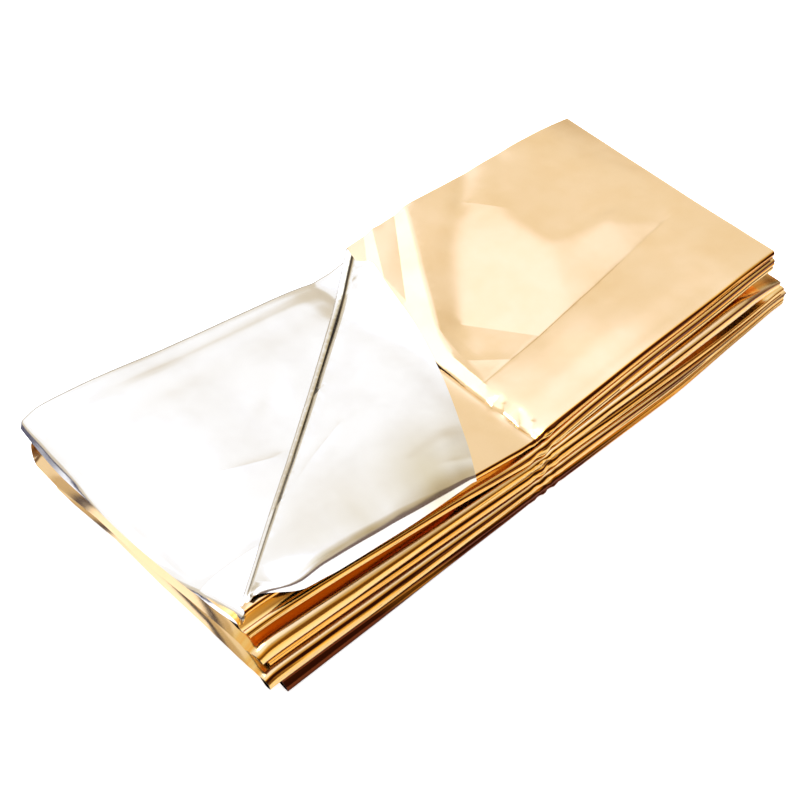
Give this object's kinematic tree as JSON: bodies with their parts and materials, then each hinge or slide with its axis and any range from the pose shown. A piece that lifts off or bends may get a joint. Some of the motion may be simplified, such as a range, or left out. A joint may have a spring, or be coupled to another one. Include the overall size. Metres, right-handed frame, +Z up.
{
  "type": "emergency foil blanket",
  "caption": "Folded emergency foil blanket lying flat and half opened, with a corner turned back; gold film outside, silver inside.",
  "frame": {"origin": "middle of the packet's footprint, on the plane that it rests on", "axes": "+X along the packet, +Y towards its back folds, +Z up; the turned-back corner is at the -X end of the front"},
  "size_m": [0.2396, 0.1053, 0.0375],
  "materials": {
    "gold_film": "satin"
  },
  "bodies": {
    "root": {"foil_blanket": "gold_film"}
  },
  "joints": []
}
